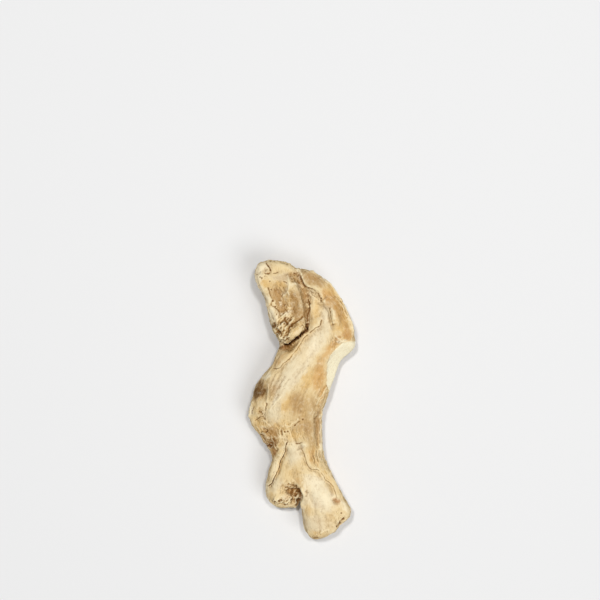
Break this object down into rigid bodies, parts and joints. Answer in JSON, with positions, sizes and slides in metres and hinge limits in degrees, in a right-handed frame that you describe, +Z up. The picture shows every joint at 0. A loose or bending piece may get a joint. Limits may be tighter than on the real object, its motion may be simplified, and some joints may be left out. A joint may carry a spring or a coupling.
{
  "type": "dried ginger rhizome",
  "caption": "Whole dried ginger rhizome: a bent, flattened body with a budded knob over one end, a forked lobed end, a cut shoulder and wrinkled pale skin",
  "frame": {"origin": "middle of the plan box, on the surface that it rests on", "axes": "+Y along its length towards the budded knob, +Z up through its thin way, +X to the cut shoulder"},
  "size_m": [0.0376, 0.0978, 0.0191],
  "materials": {
    "dried_skin": "dry, matt, fibrous skin"
  },
  "bodies": {
    "root": {"ginger_rhizome": "dried_skin"}
  },
  "joints": []
}
